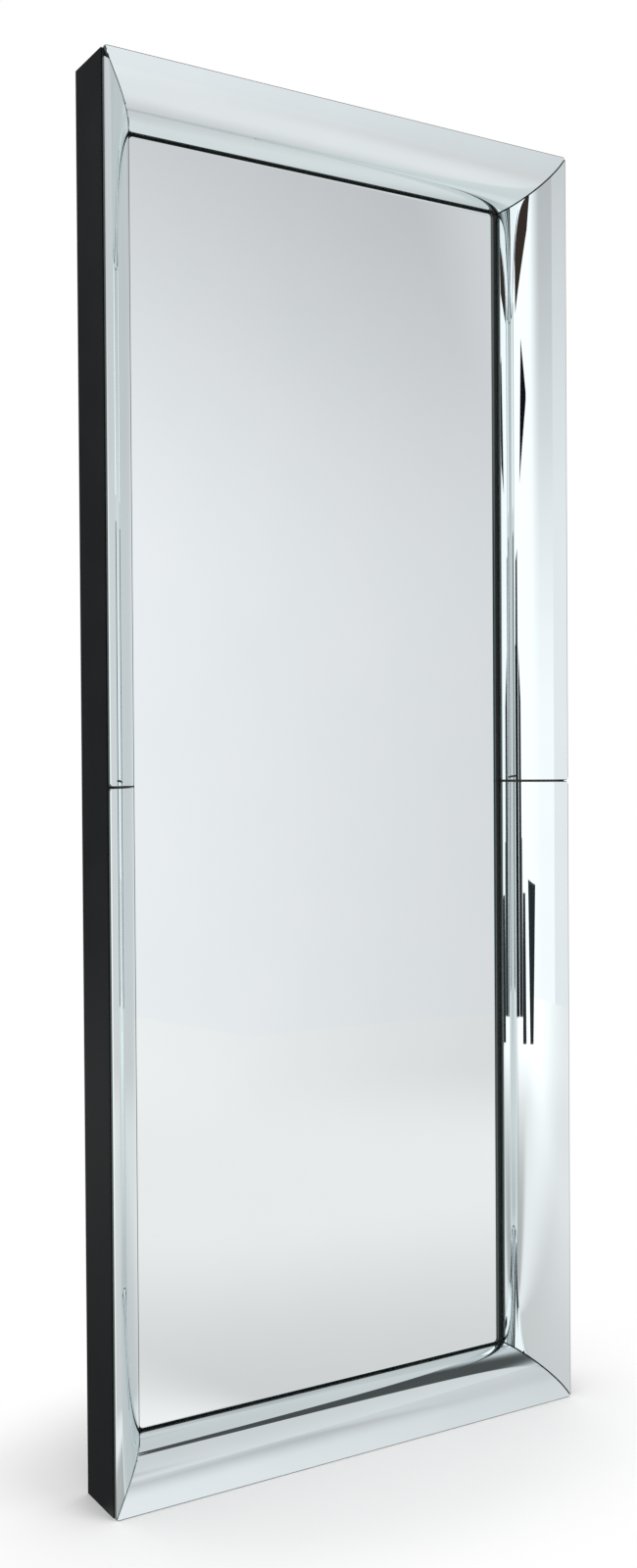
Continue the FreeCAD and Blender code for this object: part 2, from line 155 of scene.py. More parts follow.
def per_mm(size):
    """Texture scale at which one cell of a pattern is this many millimetres wide."""
    return 1 / (size * MM)


def silvered_float_glass():
    """Float glass silvered behind: flat and clear, so it reflects sharply, with a faint green-grey cast.

    What breaks the evenness is a film of wiping haze, a hand's width across.
    """
    material, tree = new_material("silvered_float_glass")
    place = add(tree, "ShaderNodeTexCoord")
    haze = add(tree, "ShaderNodeTexNoise", Vector=place.outputs["Object"], Scale=per_mm(140), Detail=3.0)
    tint = add(tree, "ShaderNodeMix", COLOURS, Factor=haze.outputs[0],
               _6=linear("#edf2f3"), _7=linear("#f2f5f6"))
    gloss = add(tree, "ShaderNodeMapRange", Value=haze.outputs[0], To_Min=0.006, To_Max=0.02)
    shader = add(tree, "ShaderNodeBsdfPrincipled", Base_Color=tint.outputs[2], Metallic=1.0,
                 Roughness=gloss.outputs[0])
    add(tree, "ShaderNodeOutputMaterial", Surface=shader.outputs[0])
    return material


def bent_silvered_glass():
    """Float glass bent in a kiln over a mould, then silvered: the mould leaves long shallow waves.

    They make straight reflections wander.
    """
    material, tree = new_material("bent_silvered_glass")
    place = add(tree, "ShaderNodeTexCoord")
    haze = add(tree, "ShaderNodeTexNoise", Vector=place.outputs["Object"], Scale=per_mm(90), Detail=3.0)
    tint = add(tree, "ShaderNodeMix", COLOURS, Factor=haze.outputs[0],
               _6=linear("#e3eaeb"), _7=linear("#e9eff0"))
    gloss = add(tree, "ShaderNodeMapRange", Value=haze.outputs[0], To_Min=0.008, To_Max=0.025)
    waves = add(tree, "ShaderNodeTexNoise", Vector=place.outputs["Object"], Scale=per_mm(160), Detail=1.0)
    bend = add(tree, "ShaderNodeBump", Strength=0.05, Distance=1.5 * MM, Height=waves.outputs[0])
    shader = add(tree, "ShaderNodeBsdfPrincipled", Base_Color=tint.outputs[2], Metallic=1.0,
                 Roughness=gloss.outputs[0], Normal=bend.outputs[0])
    add(tree, "ShaderNodeOutputMaterial", Surface=shader.outputs[0])
    return material


def glass_arris_painted_dark():
    """Polished corner of float glass: the eye looks along the sheet, so its iron shows green; the dark of it
    is a painted reflection.

    It is on the arrises of the strips and the inner half of the pane's bevel.
    """
    material, tree = new_material("glass_arris_painted_dark")
    place = add(tree, "ShaderNodeTexCoord")
    depth = add(tree, "ShaderNodeTexNoise", Vector=place.outputs["Object"], Scale=per_mm(40), Detail=2.0)
    tint = add(tree, "ShaderNodeMix", COLOURS, Factor=depth.outputs[0],
               _6=linear("#1f2b28"), _7=linear("#33443f"))
    shader = add(tree, "ShaderNodeBsdfPrincipled", Base_Color=tint.outputs[2], Roughness=0.12, IOR=GLASS_IOR)
    add(tree, "ShaderNodeOutputMaterial", Surface=shader.outputs[0])
    return material


def bevel_painted_dark_glass():
    """Clear polished glass on the outer half of the pane's bevel, grey-green where its edge shows through;
    the dark of it is a painted reflection.
    """
    material, tree = new_material("bevel_painted_dark_glass")
    place = add(tree, "ShaderNodeTexCoord")
    depth = add(tree, "ShaderNodeTexNoise", Vector=place.outputs["Object"], Scale=per_mm(60), Detail=2.0)
    tint = add(tree, "ShaderNodeMix", COLOURS, Factor=depth.outputs[0],
               _6=linear("#33413f"), _7=linear("#43524f"))
    shader = add(tree, "ShaderNodeBsdfPrincipled", Base_Color=tint.outputs[2], Roughness=0.3, IOR=GLASS_IOR)
    add(tree, "ShaderNodeOutputMaterial", Surface=shader.outputs[0])
    return material


def ground_glass_edge():
    """Glass edge ground with a fine wheel: matt grey-green, with the bite of the wheel's grit in it.

    The grit is drawn coarser than it is, so that it shows.
    """
    material, tree = new_material("ground_glass_edge")
    place = add(tree, "ShaderNodeTexCoord")
    grit = add(tree, "ShaderNodeTexNoise", Vector=place.outputs["Object"], Scale=per_mm(1.5), Detail=4.0)
    tint = add(tree, "ShaderNodeMix", COLOURS, Factor=grit.outputs[0],
               _6=linear("#434d4b"), _7=linear("#5e6a67"))
    bite = add(tree, "ShaderNodeBump", Strength=0.3, Distance=0.05 * MM, Height=grit.outputs[0])
    shader = add(tree, "ShaderNodeBsdfPrincipled", Base_Color=tint.outputs[2], Roughness=0.45, IOR=GLASS_IOR,
                 Normal=bite.outputs[0])
    add(tree, "ShaderNodeOutputMaterial", Surface=shader.outputs[0])
    return material


def mirror_backing_paint():
    """Grey protective paint on the back of the silver, rolled on, with a slight orange peel."""
    material, tree = new_material("mirror_backing_paint")
    place = add(tree, "ShaderNodeTexCoord")
    peel = add(tree, "ShaderNodeTexNoise", Vector=place.outputs["Object"], Scale=per_mm(2), Detail=2.0)
    tint = add(tree, "ShaderNodeMix", COLOURS, Factor=peel.outputs[0],
               _6=linear("#4a4f52"), _7=linear("#565c5f"))
    bump = add(tree, "ShaderNodeBump", Strength=0.2, Distance=0.05 * MM, Height=peel.outputs[0])
    shader = add(tree, "ShaderNodeBsdfPrincipled", Base_Color=tint.outputs[2], Roughness=0.55,
                 Normal=bump.outputs[0])
    add(tree, "ShaderNodeOutputMaterial", Surface=shader.outputs[0])
    return material


def satin_black_lacquer():
    """Fibreboard sprayed with black lacquer and rubbed down: an even satin sheen with a soft orange peel."""
    material, tree = new_material("satin_black_lacquer")
    place = add(tree, "ShaderNodeTexCoord")
    cloud = add(tree, "ShaderNodeTexNoise", Vector=place.outputs["Object"], Scale=per_mm(120), Detail=4.0)
    peel = add(tree, "ShaderNodeTexNoise", Vector=place.outputs["Object"], Scale=per_mm(2.5), Detail=2.0)
    tint = add(tree, "ShaderNodeMix", COLOURS, Factor=cloud.outputs[0],
               _6=linear("#121416"), _7=linear("#1a1d1f"))
    gloss = add(tree, "ShaderNodeMapRange", Value=cloud.outputs[0], To_Min=0.3, To_Max=0.45)
    bump = add(tree, "ShaderNodeBump", Strength=0.12, Distance=0.05 * MM, Height=peel.outputs[0])
    shader = add(tree, "ShaderNodeBsdfPrincipled", Base_Color=tint.outputs[2], Roughness=gloss.outputs[0],
                 IOR=1.5, Normal=bump.outputs[0])
    add(tree, "ShaderNodeOutputMaterial", Surface=shader.outputs[0])
    return material


def matt_black_hardboard():
    """Hardboard rolled with matt black paint: the pressed fibres still show as a fine mottle."""
    material, tree = new_material("matt_black_hardboard")
    place = add(tree, "ShaderNodeTexCoord")
    fibre = add(tree, "ShaderNodeTexNoise", Vector=place.outputs["Object"], Scale=per_mm(4), Detail=6.0)
    tint = add(tree, "ShaderNodeMix", COLOURS, Factor=fibre.outputs[0],
               _6=linear("#141413"), _7=linear("#2a2a28"))
    bump = add(tree, "ShaderNodeBump", Strength=0.4, Distance=0.2 * MM, Height=fibre.outputs[0])
    shader = add(tree, "ShaderNodeBsdfPrincipled", Base_Color=tint.outputs[2], Roughness=0.8, IOR=1.45,
                 Normal=bump.outputs[0])
    add(tree, "ShaderNodeOutputMaterial", Surface=shader.outputs[0])
    return material


def foam_tape(name, dark, pale):
    """Closed-cell foam tape: dead matt, with the pinholes of its cells.

    The cells are drawn a little larger than they are, so that they show.
    """
    material, tree = new_material(name)
    place = add(tree, "ShaderNodeTexCoord")
    cells = add(tree, "ShaderNodeTexVoronoi", Vector=place.outputs["Object"], Scale=per_mm(0.8))
    tint = add(tree, "ShaderNodeMix", COLOURS, Factor=cells.outputs[0],
               _6=linear(dark), _7=linear(pale))
    bump = add(tree, "ShaderNodeBump", Strength=0.5, Distance=0.1 * MM, Height=cells.outputs[0])
    shader = add(tree, "ShaderNodeBsdfPrincipled", Base_Color=tint.outputs[2], Roughness=0.95,
                 Normal=bump.outputs[0])
    add(tree, "ShaderNodeOutputMaterial", Surface=shader.outputs[0])
    return material


def plain_wood(name, early, late, band_mm):
    """Wood off the planer or the lathe: bands of early and late growth, wandering a little."""
    material, tree = new_material(name)
    place = add(tree, "ShaderNodeTexCoord")
    rings = add(tree, "ShaderNodeTexWave", {"bands_direction": "Y"}, Vector=place.outputs["Object"],
                Scale=per_mm(band_mm * WAVE_FACTOR), Distortion=3.0, Detail=2.0)
    tint = add(tree, "ShaderNodeMix", COLOURS, Factor=rings.outputs[0],
               _6=linear(early), _7=linear(late))
    bump = add(tree, "ShaderNodeBump", Strength=0.2, Distance=0.1 * MM, Height=rings.outputs[0])
    shader = add(tree, "ShaderNodeBsdfPrincipled", Base_Color=tint.outputs[2], Roughness=0.65,
                 Normal=bump.outputs[0])
    add(tree, "ShaderNodeOutputMaterial", Surface=shader.outputs[0])
    return material


def sawn_fibreboard():
    """Medium density fibreboard off the saw: an even brown felt of fibres."""
    material, tree = new_material("sawn_fibreboard")
    place = add(tree, "ShaderNodeTexCoord")
    felt = add(tree, "ShaderNodeTexNoise", Vector=place.outputs["Object"], Scale=per_mm(1.2), Detail=6.0)
    tint = add(tree, "ShaderNodeMix", COLOURS, Factor=felt.outputs[0],
               _6=linear("#8f7656"), _7=linear("#b39a78"))
    bump = add(tree, "ShaderNodeBump", Strength=0.4, Distance=0.1 * MM, Height=felt.outputs[0])
    shader = add(tree, "ShaderNodeBsdfPrincipled", Base_Color=tint.outputs[2], Roughness=0.85,
                 Normal=bump.outputs[0])
    add(tree, "ShaderNodeOutputMaterial", Surface=shader.outputs[0])
    return material


def zinc_plated_steel():
    """Pressed steel, zinc plated and blue passivated: bright grey, and cloudy where the bath varied."""
    material, tree = new_material("zinc_plated_steel")
    place = add(tree, "ShaderNodeTexCoord")
    cloud = add(tree, "ShaderNodeTexNoise", Vector=place.outputs["Object"], Scale=per_mm(5), Detail=4.0)
    tint = add(tree, "ShaderNodeMix", COLOURS, Factor=cloud.outputs[0],
               _6=linear("#b4b9bd"), _7=linear("#d2d4d1"))
    gloss = add(tree, "ShaderNodeMapRange", Value=cloud.outputs[0], To_Min=0.22, To_Max=0.4)
    shader = add(tree, "ShaderNodeBsdfPrincipled", Base_Color=tint.outputs[2], Metallic=1.0,
                 Roughness=gloss.outputs[0])
    add(tree, "ShaderNodeOutputMaterial", Surface=shader.outputs[0])
    return material


FLOAT_GLASS = silvered_float_glass()
BENT_GLASS = bent_silvered_glass()
GLASS_ARRIS = glass_arris_painted_dark()
BEVEL = bevel_painted_dark_glass()
GROUND_EDGE = ground_glass_edge()
BACKING = mirror_backing_paint()
LACQUER = satin_black_lacquer()
HARDBOARD = matt_black_hardboard()
BLACK_TAPE = foam_tape("black_foam_tape", "#050505", "#101010")
GREY_TAPE = foam_tape("grey_foam_tape", "#b9bab7", "#dcdcd8")
PINE = plain_wood("planed_pine", "#d9b98a", "#b88a55", 4)
BEECH = plain_wood("turned_beech", "#c79b6d", "#b2845a", 2)
FIBREBOARD = sawn_fibreboard()
ZINC = zinc_plated_steel()

# Finishes of a strip, and their places in the list
STRIP_FINISHES = (BENT_GLASS, GLASS_ARRIS, GROUND_EDGE, BACKING)
MIRRORED, PAINTED_DARK_ARRIS, GROUND, PAINTED = range(len(STRIP_FINISHES))
# Finishes of the pane, from its face outwards over the bevel and the edge to its back
PANE_FINISHES = (FLOAT_GLASS, GLASS_ARRIS, BEVEL, GROUND_EDGE, BACKING)


def make_piece(name, points, faces, materials, node):
    """A finer mesh in the place of a fixed node. Faces are (corner indices, material index)."""
    mesh = bpy.data.meshes.new(name)
    mesh.from_pydata(points, [], [corners for corners, _ in faces])
    for material in materials:
        mesh.materials.append(material)
    mesh.polygons.foreach_set("material_index", [index for _, index in faces])
    work = bmesh.new()
    work.from_mesh(mesh)
    bmesh.ops.recalc_face_normals(work, faces=work.faces)
    work.to_mesh(mesh)
    work.free()
    mesh.shade_smooth()
    mesh.set_sharp_from_angle(angle=SMOOTH_ANGLE)
    piece = bpy.data.objects.new(name, mesh)
    bpy.context.scene.collection.objects.link(piece)
    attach(piece, "mirror")
    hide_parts(node)


def band(first, second, count):
    """Faces between two rings of points, each given by the index of its first point."""
    onward = [(i + 1) % count for i in range(count)]
    return [(first + i, first + j, second + j, second + i) for i, j in enumerate(onward)]


class Arc:
    """The arc of a strip's mirrored face, in inset from the outer face and depth from the front."""

    def __init__(self, border, bulge):
        self.border = border
        chord = math.hypot(border, DROP)
        self.radius = chord ** 2 / (8 * bulge) + bulge / 2
        reach = self.radius - bulge
        self.axis_inset = border / 2 - reach * DROP / chord
        self.axis_depth = DROP / 2 + reach * border / chord

    def inset_at(self, depth, behind=0.0):
        return self.axis_inset + math.sqrt((self.radius - behind) ** 2 - (self.axis_depth - depth) ** 2)

    def depth_at(self, inset):
        return self.axis_depth - math.sqrt(self.radius ** 2 - (inset - self.axis_inset) ** 2)

    def points(self, first_inset, last_inset, behind):
        """Points along the arc, or behind it in the glass, crowded towards the outer edge."""
        radius = self.radius - behind
        first, last = (math.asin((inset - self.axis_inset) / radius) for inset in (first_inset, last_inset))
        shares = [(i / SECTION_STEPS) ** STEP_CROWDING for i in range(SECTION_STEPS + 1)]
        turns = [first + (last - first) * share for share in shares]
        return [(self.axis_inset + radius * math.sin(turn), self.axis_depth - radius * math.cos(turn))
                for turn in turns]

    def section(self, shrink):
        """Outline of the glass: outer face, mirrored face and back. Shrink draws front and outer faces in."""
        face = self.points(ARRIS + shrink, self.inset_at(DROP, shrink), shrink)
        back = self.points(shrink, self.inset_at(DROP, STRIP_GLASS), STRIP_GLASS)
        return [(shrink, ARRIS + shrink)] + face + back[::-1]


SIDE_ARC = Arc(SIDE_BORDER, SIDE_BULGE)
END_ARC = Arc(END_BORDER, END_BULGE)


def rounded(inset):
    """How far a rounded glass corner stands back from the square one, at this inset."""
    if inset >= CORNER_RADIUS:
        return 0.0
    return CORNER_RADIUS - math.sqrt(CORNER_RADIUS ** 2 - (CORNER_RADIUS - inset) ** 2)


def mitred(own, other, tip=0.0):
    """The end line of a strip at a corner, where its face meets the other strip's face at the same depth.

    With a tip, the end is also cut square, that far from the corner.
    """
    half_gap = MITRE_GAP / 2

    def line(inset):
        meeting = other.inset_at(own.depth_at(min(inset + half_gap, own.border))) + half_gap
        return max(meeting, rounded(inset), tip)

    return line


def butted(inset):
    """The end line of a strip at the seam, half a gap from the middle."""
    return SEAM_GAP / 2 + rounded(inset)


def make_strip(name, arc, to_frame, start, start_line, end, end_line, polished=False):
    """A strip of bent glass between two end lines, which are measured inwards from start and end.

    A polished outer arris mirrors like the face; the others are painted dark, a painted reflection. At a butt
    seam the arris is clear glass painted dark, painted shade that widens the seam's line.
    """
    full = arc.section(0.0)
    start_arris, end_arris = (SEAM_ARRIS if line is butted else END_ARRIS for line in (start_line, end_line))
    rings = [
        [(i, d, start + start_line(i)) for i, d in arc.section(start_arris)],
        [(i, d, start + start_line(i) + start_arris) for i, d in full],
        [(i, d, end - end_line(i) - end_arris) for i, d in full],
        [(i, d, end - end_line(i)) for i, d in arc.section(end_arris)],
    ]
    points = [to_frame(*point) for ring in rings for point in ring]
    count = len(full)
    face_end = SECTION_STEPS + 1
    faces = []
    for ring, line in enumerate((start_line, None, end_line)):
        for i, corners in enumerate(band(ring * count, (ring + 1) * count, count)):
            # Dark arris faces are painted reflection, and at a butt seam painted shade
            if i == 0:
                finish = MIRRORED if polished else PAINTED_DARK_ARRIS
            elif i < face_end:
                finish = PAINTED_DARK_ARRIS if line is butted else MIRRORED
            elif i in (face_end, count - 1):
                finish = GROUND
            else:
                finish = PAINTED
            faces.append((corners, finish))
    for base in (0, (len(rings) - 1) * count):
        faces.append(((base, base + 1, base + count - 1), GROUND))
        for i in range(1, face_end):
            faces.append(((base + i, base + i + 1, base + count - 1 - i, base + count - i), GROUND))
    make_piece(f"{name}_glass", points, faces, STRIP_FINISHES, f"{name}_mirror_strip")


def make_strips():
    """The six strips: the long sides are butted in the middle, and the corners are mitred."""
    def on_left(inset, depth, along):
        return LEFT + inset, FRONT + depth, along

    def on_right(inset, depth, along):
        return RIGHT - inset, FRONT + depth, along

    def on_top(inset, depth, along):
        return along, FRONT + depth, TOP - inset

    def on_bottom(inset, depth, along):
        return along, FRONT + depth, BOTTOM + inset

    side = mitred(SIDE_ARC, END_ARC)
    clipped = mitred(SIDE_ARC, END_ARC, TOP_LEFT_TIP)
    end = mitred(END_ARC, SIDE_ARC)
    # The left strips' outer arris mirrors; the right strips' arris is painted dark, a painted dark outline
    make_strip("left_lower", SIDE_ARC, on_left, BOTTOM, side, MIDDLE, butted, polished=True)
    make_strip("left_upper", SIDE_ARC, on_left, MIDDLE, butted, TOP, clipped, polished=True)
    make_strip("right_lower", SIDE_ARC, on_right, BOTTOM, side, MIDDLE, butted)
    make_strip("right_upper", SIDE_ARC, on_right, MIDDLE, butted, TOP, side)
    make_strip("top", END_ARC, on_top, LEFT, end, RIGHT, end)
    make_strip("bottom", END_ARC, on_bottom, LEFT, end, RIGHT, end)


def pane_outline(low, high, share):
    """The pane's outline in X and Z with rounded corners, drawn in by a share of its bevel."""
    left, right = low.x + PANE_BEVEL_LEFT * share, high.x - PANE_BEVEL_RIGHT * share
    bottom, top = low.z + PANE_BEVEL_END * share, high.z - PANE_BEVEL_END * share
    outline = []
    for turn, (x, z) in enumerate(((right, top), (left, top), (left, bottom), (right, bottom))):
        centre_x = x + PANE_CORNER * (1 if x == left else -1)
        centre_z = z + PANE_CORNER * (1 if z == bottom else -1)
        for step in range(CORNER_STEPS + 1):
            angle = math.radians(90 * turn + 90 * step / CORNER_STEPS)
            outline.append((centre_x + PANE_CORNER * math.cos(angle),
                            centre_z + PANE_CORNER * math.sin(angle)))
    return outline


def make_pane():
    """The flat pane: a silvered face, a bevel in two steps and a ground edge."""
    low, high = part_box("centre_mirror_pane")
    rings = [
        (1.0, low.y),
        (0.5, low.y + PANE_BEVEL_DROP),
        (0.0, low.y + PANE_ARRIS_DROP),
        (0.0, high.y),
    ]
    points = []
    for share, y in rings:
        points += [(x, y, z) for x, z in pane_outline(low, high, share)]
    count = len(points) // len(rings)
    front, back = 0, len(PANE_FINISHES) - 1
    faces = [(tuple(range(count)), front), (tuple(range(len(points) - count, len(points))), back)]
    for finish in range(1, back):
        faces += [(corners, finish) for corners in band((finish - 1) * count, finish * count, count)]
    make_piece("centre_pane_glass", points, faces, PANE_FINISHES, "centre_mirror_pane")


def screw_places(node):
    """Each screw of a node, as the frame has it.

    Given are x and z of its axis, y of its point and of its head, and the width of its head.
    """
    work = bmesh.new()
    work.from_mesh(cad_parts[node].data)
    bmesh.ops.remove_doubles(work, verts=work.verts, dist=1e-6)
    places, seen = [], set()
    for vertex in work.verts:
        if vertex in seen:
            continue
        island, front = {vertex}, [vertex]
        while front:
            grown = {e.other_vert(v) for v in front for e in v.link_edges} - island
            island |= grown
            front = list(grown)
        seen |= island
        lows = [min(v.co[i] for v in island) for i in range(3)]
        highs = [max(v.co[i] for v in island) for i in range(3)]
        axis_x, axis_z = ((lows[i] + highs[i]) / 2 for i in (0, 2))
        places.append((axis_x, axis_z, lows[1], highs[1], highs[0] - lows[0]))
    work.free()
    return places


def circle(x, y, z, radius):
    """Points round a screw's axis."""
    turns = [2 * math.pi * i / HEAD_STEPS for i in range(HEAD_STEPS)]
    return [(x + radius * math.cos(t), y, z + radius * math.sin(t)) for t in turns]


def cross(x, y, z, reach, width, spin):
    """Corners of a cross recess: for each arm the two at its end and the one before the next arm."""
    corners = []
    for quarter in range(4):
        turn = spin + quarter * math.pi / 2
        for along, aside in ((reach, -width), (reach, width), (width, width)):
            corners.append((x + along * math.cos(turn) - aside * math.sin(turn), y,
                            z + along * math.sin(turn) + aside * math.cos(turn)))
    return corners


def head_faces(points, edge, rim):
    """Faces of a screw head, between its round edge and the rim of its recess."""
    nearest = []
    for step in range(HEAD_STEPS):
        ends = points[edge + step], points[edge + (step + 1) % HEAD_STEPS]
        middle = [sum(pair) / 2 for pair in zip(*ends)]
        nearest.append(min(range(CROSS_CORNERS), key=lambda corner: math.dist(points[rim + corner], middle)))
    faces = []
    for step in range(HEAD_STEPS):
        after = (step + 1) % HEAD_STEPS
        corner = nearest[step]
        faces.append((edge + step, edge + after, rim + corner))
        while corner != nearest[after]:
            onward = (corner + 1) % CROSS_CORNERS
            faces.append((edge + after, rim + onward, rim + corner))
            corner = onward
    return faces


def make_screws(node):
    """Countersunk screws with a cross recess in the head."""
    points, faces = [], []

    def ring(corners):
        """Keep the points of a ring, and give the index of its first one."""
        points.extend(corners)
        return len(points) - len(corners)

    for number, (x, z, point_y, head_y, head_width) in enumerate(screw_places(node)):
        radius = head_width / 2
        shank = radius / 2
        spin = math.radians(SCREW_TURN * number)
        reach, width = radius * RECESS_REACH, radius * RECESS_WIDTH
        rim = ring(cross(x, head_y, z, reach, width, spin))
        floor = ring(cross(x, head_y - RECESS_DEPTH, z, reach * RECESS_FLOOR_REACH,
                           width * RECESS_FLOOR_WIDTH, spin))
        faces += band(rim, floor, CROSS_CORNERS)
        faces.append(tuple(range(floor, floor + CROSS_CORNERS)))
        edge = ring(circle(x, head_y, z, radius))
        faces += head_faces(points, edge, rim)
        neck = ring(circle(x, head_y - shank, z, shank))
        tip = ring(circle(x, point_y + 2 * shank, z, shank))
        end = ring(circle(x, point_y, z, shank * POINT_SHARE))
        for one, two in ((edge, neck), (neck, tip), (tip, end)):
            faces += band(one, two, HEAD_STEPS)
        faces.append(tuple(range(end, end + HEAD_STEPS)))
    make_piece(f"{node}_detailed", points, [(corners, 0) for corners in faces], (ZINC,), node)


def dress_nodes():
    """Give each CAD node that stays in view its finish."""
    for name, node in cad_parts.items():
        if name.endswith("_board"):
            finish, slot = LACQUER, "black_lacquered_board"
        elif name == "back_panel":
            finish, slot = HARDBOARD, "black_back_panel"
        elif name.endswith("edge_tape"):
            finish, slot = BLACK_TAPE, "black_edge_tape"
        elif name == "pane_tapes":
            finish, slot = GREY_TAPE, "mirror_tape"
        elif "batten" in name or name == "hanging_rail":
            finish, slot = PINE, "pine"
        elif "_rib_" in name:
            finish, slot = FIBREBOARD, "fibreboard"
        elif name == "corner_dowels":
            finish, slot = BEECH, "beech"
        elif "hanger" in name:
            finish, slot = ZINC, "zinc_plated_steel"
        else:
            continue
        node.data.materials.clear()
        node.data.materials.append(finish)
        node.data.polygons.foreach_set("material_index", [0] * len(node.data.polygons))


def across(first, last):
    """From values of a map range that runs between two azimuths in degrees."""
    return {"From_Min": math.radians(first), "From_Max": math.radians(last)}


# Studio: azimuths are in degrees, 0 in front of the object and positive to the right of it
FLOOR_REACH = 4.2
WALL_DISTANCE = 4.0
WALL_HEIGHT = 4.4
WALL_END = 125
WALL_STEPS = 120
ROOM_CORNER = -28
CARD_DISTANCE = 3.2
# The shadow shows in an oval round the object: the weights of X, Y and Z in its reach,
# and the reaches between which it fades
SHADOW_OVAL = (2.0, 3.4, 0.0)
SHADOW_ROOM = 0.75
SHADOW_FADE = 1.6
# The way out from the object in which the floor brightens
FLOOR_AHEAD = (0.35, -1.0, 0.0)
# Azimuths between which the light changes
FALL_TO_RIGHT = across(12, 52)
ROOF_TO_RIGHT = across(25, 45)
COVE_TO_RIGHT = across(38, 46)
FLOOR_TO_LEFT = across(-60, -10)
WHITE_LEFT = across(-64, -44)
SHADED_LEFT = across(-76, -64)
UNLIT_FLOOR = across(-92, -80)
UNLIT_BACKGROUND = across(-130, -120)
# Levels of light
BACKGROUND_LIGHT = 0.9
WHITE_LEFT_LEVEL = 1.26
WHITE_CARD_LEVEL = 1.5
# Softbox
LAMP_WIDTH = 2.4
LAMP_HEIGHT = 1.6
LAMP_POWER = 45
LAMP_PLACE = (1.6, -2.8, 3.4)


def bearings(tree, place):
    """Coordinates of a place, and its azimuth in radians."""
    axes = add(tree, "ShaderNodeSeparateXYZ", Vector=place)
    forward = add(tree, "ShaderNodeMath", TIMES, _0=axes.outputs[1], _1=-1.0)
    azimuth = add(tree, "ShaderNodeMath", {"operation": "ARCTAN2"}, _0=axes.outputs[0], _1=forward.outputs[0])
    return axes, azimuth.outputs[0]


def studio_background():
    """White behind the object. Reflections show a pale ceiling, which is dark high up except on the right.

    Behind on the left the studio is dark too.
    """
    world = bpy.data.worlds.new("studio")
    bpy.context.scene.world = world
    world.use_nodes = True
    tree = world.node_tree
    tree.nodes.clear()
    path = add(tree, "ShaderNodeLightPath")
    place = add(tree, "ShaderNodeTexCoord")
    axes, azimuth = bearings(tree, place.outputs["Generated"])
    ceiling = add(tree, "ShaderNodeMapRange", SMOOTH, Value=axes.outputs[2], From_Min=0.7, From_Max=1.0,
                  To_Min=0.85, To_Max=0.72)
    high = add(tree, "ShaderNodeMapRange", SMOOTH, Value=axes.outputs[2], From_Min=0.76, From_Max=0.82)
    rightward = add(tree, "ShaderNodeMapRange", SMOOTH, Value=azimuth, **ROOF_TO_RIGHT,
                    To_Min=0.13, To_Max=1.0)
    roof = add(tree, "ShaderNodeMix", Factor=high.outputs[0], _2=1.0, _3=rightward.outputs[0])
    unlit = add(tree, "ShaderNodeMapRange", Value=azimuth, **UNLIT_BACKGROUND, To_Min=0.05, To_Max=1.0)
    level = add(tree, "ShaderNodeMath", TIMES, _0=ceiling.outputs[0], _1=unlit.outputs[0])
    level = add(tree, "ShaderNodeMath", TIMES, _0=level.outputs[0], _1=roof.outputs[0])
    dim = add(tree, "ShaderNodeBackground", Color=linear("#fcfdff"), Strength=level.outputs[0])
    white = add(tree, "ShaderNodeBackground", Color=linear("#ffffff"), Strength=1.0)
    ambient = add(tree, "ShaderNodeBackground", Color=linear("#ffffff"), Strength=BACKGROUND_LIGHT)
    seen = add(tree, "ShaderNodeMixShader", _0=path.outputs["Is Glossy Ray"], _1=ambient.outputs[0],
               _2=dim.outputs[0])
    seen = add(tree, "ShaderNodeMixShader", _0=path.outputs["Is Camera Ray"], _1=seen.outputs[0],
               _2=white.outputs[0])
    add(tree, "ShaderNodeOutputWorld", Surface=seen.outputs[0])


def floor_in_reflections(tree, place):
    """Level at which the floor glows in reflections: painted light and shade.

    It darkens towards the object and to the right, is brightest on the left, and is dark behind on the left.
    """
    _, azimuth = bearings(tree, place)
    distance = add(tree, "ShaderNodeVectorMath", LENGTH, _0=place)
    ahead = add(tree, "ShaderNodeVectorMath", {"operation": "DOT_PRODUCT"}, _0=place, _1=FLOOR_AHEAD)
    # Painted shade: the floor is darker close in front of the object
    near = add(tree, "ShaderNodeMapRange", SMOOTH, Value=ahead.outputs["Value"], From_Max=1.2,
               To_Min=0.7, To_Max=0.92)
    far = add(tree, "ShaderNodeMapRange", SMOOTH, Value=azimuth, **FALL_TO_RIGHT, To_Min=0.98, To_Max=0.77)
    away = add(tree, "ShaderNodeMapRange", SMOOTH, Value=distance.outputs["Value"],
               From_Min=1.7, From_Max=3.0)
    level = add(tree, "ShaderNodeMix", Factor=away.outputs[0], _2=near.outputs[0], _3=far.outputs[0])
    leftward = add(tree, "ShaderNodeMapRange", SMOOTH, Value=azimuth, **FLOOR_TO_LEFT,
                   To_Min=1.38, To_Max=1.0)
    level = add(tree, "ShaderNodeMath", TIMES, _0=level.outputs[0], _1=leftward.outputs[0])
    # Painted shade on the floor near the object, on the left
    aside = add(tree, "ShaderNodeMapRange", SMOOTH, Value=azimuth, **SHADED_LEFT, To_Min=1.0, To_Max=0.0)
    close = add(tree, "ShaderNodeMapRange", SMOOTH, Value=distance.outputs["Value"],
                From_Min=0.5, From_Max=2.2, To_Min=0.55, To_Max=1.0)
    shade = add(tree, "ShaderNodeMix", Factor=aside.outputs[0], _2=1.0, _3=close.outputs[0])
    level = add(tree, "ShaderNodeMath", TIMES, _0=level.outputs[0], _1=shade.outputs[0])
    unlit = add(tree, "ShaderNodeMapRange", SMOOTH, Value=azimuth, **UNLIT_FLOOR, To_Min=0.14, To_Max=1.0)
    return add(tree, "ShaderNodeMath", TIMES, _0=level.outputs[0], _1=unlit.outputs[0])


